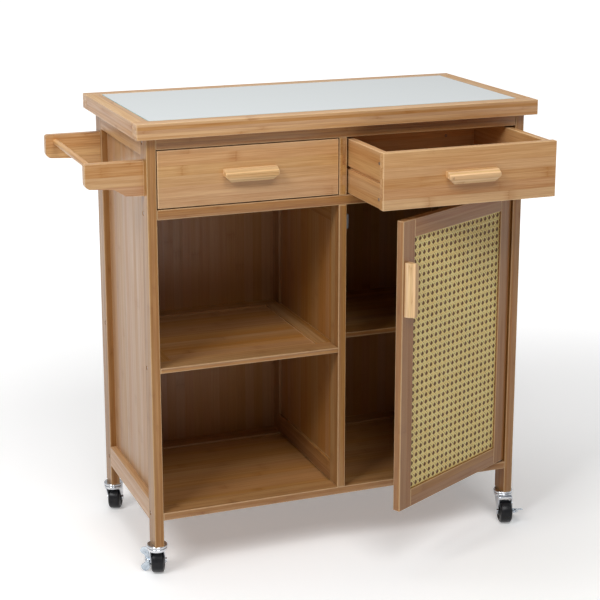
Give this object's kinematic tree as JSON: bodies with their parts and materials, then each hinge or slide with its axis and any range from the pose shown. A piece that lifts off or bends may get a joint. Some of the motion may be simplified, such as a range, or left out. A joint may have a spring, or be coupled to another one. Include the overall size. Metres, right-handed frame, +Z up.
{
  "type": "rolling utility cart",
  "caption": "Rolling kitchen cart in laminated bamboo with a glass worktop, drawers, an open shelf bay, a cane door and a side towel handle.",
  "frame": {"origin": "on the floor, at the centre of the four caster swivel axes", "axes": "+X to the right seen from the front, +Y to the rear, +Z up"},
  "size_m": [0.9437, 0.6046, 0.934],
  "materials": {
    "bamboo": "satin",
    "bamboo_panel": "satin",
    "white_glass": "gloss",
    "cane": "satin",
    "chrome": "polished",
    "zinc_steel": "bright zinc",
    "wheel_rubber": "satin",
    "nylon": "matte",
    "grey_plastic": "matte"
  },
  "bodies": {
    "root": {"worktop_frame": "bamboo", "worktop_base": "bamboo_panel", "worktop_glass": "white_glass", "leg_front_left": "bamboo", "leg_front_right": "bamboo", "leg_rear_left": "bamboo", "leg_rear_right": "bamboo", "side_panel_left": "bamboo_panel", "side_panel_right": "bamboo_panel", "side_rails_left": "bamboo", "side_rails_right": "bamboo", "front_rail_top": "bamboo", "front_rail_middle": "bamboo", "rear_rails": "bamboo", "back_panel": "bamboo_panel", "drawer_divider": "bamboo", "drawer_runners": "bamboo", "partition_frame": "bamboo", "partition_panel": "bamboo_panel", "shelf_left_frame": "bamboo", "shelf_left_panel": "bamboo_panel", "shelf_right": "bamboo", "bottom_frame": "bamboo", "bottom_panel": "bamboo_panel", "handle_arms": "bamboo", "handle_rod": "bamboo", "magnet_catch": "grey_plastic", "frame_bolts": "zinc_steel", "door_pivot_pins": "zinc_steel", "caster_stems": "chrome"},
    "drawer_left": {"drawer_left_front": "bamboo", "drawer_left_side_left": "bamboo", "drawer_left_side_right": "bamboo", "drawer_left_back": "bamboo", "drawer_left_bottom": "bamboo_panel", "drawer_left_handle": "bamboo"},
    "drawer_right": {"drawer_right_front": "bamboo", "drawer_right_side_left": "bamboo", "drawer_right_side_right": "bamboo", "drawer_right_back": "bamboo", "drawer_right_bottom": "bamboo_panel", "drawer_right_handle": "bamboo"},
    "door": {"door_stile_hinge": "bamboo", "door_stile_latch": "bamboo", "door_rail_bottom": "bamboo", "door_rail_top": "bamboo", "door_cane": "cane", "door_backing": "bamboo_panel", "door_handle": "bamboo", "door_pivot_bushes": "nylon"},
    "caster_front_left": {"caster_front_left_fork": "chrome"},
    "wheel_front_left": {"caster_front_left_wheel": "wheel_rubber"},
    "brake_front_left": {"brake_wing_front_left": "zinc_steel"},
    "caster_front_right": {"caster_front_right_fork": "chrome"},
    "wheel_front_right": {"caster_front_right_wheel": "wheel_rubber"},
    "brake_front_right": {"brake_wing_front_right": "zinc_steel"},
    "caster_rear_left": {"caster_rear_left_fork": "chrome"},
    "wheel_rear_left": {"caster_rear_left_wheel": "wheel_rubber"},
    "caster_rear_right": {"caster_rear_right_fork": "chrome"},
    "wheel_rear_right": {"caster_rear_right_wheel": "wheel_rubber"}
  },
  "joints": [
    {"name": "left_drawer_slide", "type": "slide", "parent": "root", "child": "drawer_left", "axis": [0, -1, 0], "range_m": [0, 0.26]},
    {"name": "right_drawer_slide", "type": "slide", "parent": "root", "child": "drawer_right", "axis": [0, -1, 0], "range_m": [-0.172, 0.088]},
    {"name": "door_hinge", "type": "hinge", "parent": "root", "child": "door", "pos_m": [0.3718, -0.187, 0.443], "axis": [0, 0, 1], "range_deg": [-28, 77]},
    {"name": "front_left_swivel", "type": "hinge", "parent": "root", "child": "caster_front_left", "pos_m": [-0.3935, -0.174, 0.064], "axis": [0, 0, 1], "continuous": true},
    {"name": "front_left_roll", "type": "hinge", "parent": "caster_front_left", "child": "wheel_front_left", "pos_m": [-0.387, -0.15615, 0.025], "axis": [-0.9397, 0.342, 0], "continuous": true},
    {"name": "front_left_brake", "type": "hinge", "parent": "caster_front_left", "child": "brake_front_left", "pos_m": [-0.387, -0.15615, 0.025], "axis": [0.9397, -0.342, 0], "range_deg": [0, 60]},
    {"name": "front_right_swivel", "type": "hinge", "parent": "root", "child": "caster_front_right", "pos_m": [0.3935, -0.174, 0.064], "axis": [0, 0, 1], "continuous": true},
    {"name": "front_right_roll", "type": "hinge", "parent": "caster_front_right", "child": "wheel_front_right", "pos_m": [0.3889, -0.19244, 0.025], "axis": [0.9703, -0.2419, 0], "continuous": true},
    {"name": "front_right_brake", "type": "hinge", "parent": "caster_front_right", "child": "brake_front_right", "pos_m": [0.3889, -0.19244, 0.025], "axis": [-0.9703, 0.2419, 0], "range_deg": [0, 60]},
    {"name": "rear_left_swivel", "type": "hinge", "parent": "root", "child": "caster_rear_left", "pos_m": [-0.3935, 0.174, 0.064], "axis": [0, 0, 1], "continuous": true},
    {"name": "rear_left_roll", "type": "hinge", "parent": "caster_rear_left", "child": "wheel_rear_left", "pos_m": [-0.38517, 0.19108, 0.025], "axis": [-0.8988, 0.4384, 0], "continuous": true},
    {"name": "rear_right_swivel", "type": "hinge", "parent": "root", "child": "caster_rear_right", "pos_m": [0.3935, 0.174, 0.064], "axis": [0, 0, 1], "continuous": true},
    {"name": "rear_right_roll", "type": "hinge", "parent": "caster_rear_right", "child": "wheel_rear_right", "pos_m": [0.403, 0.19045, 0.025], "axis": [-0.866, 0.5, 0], "continuous": true}
  ]
}
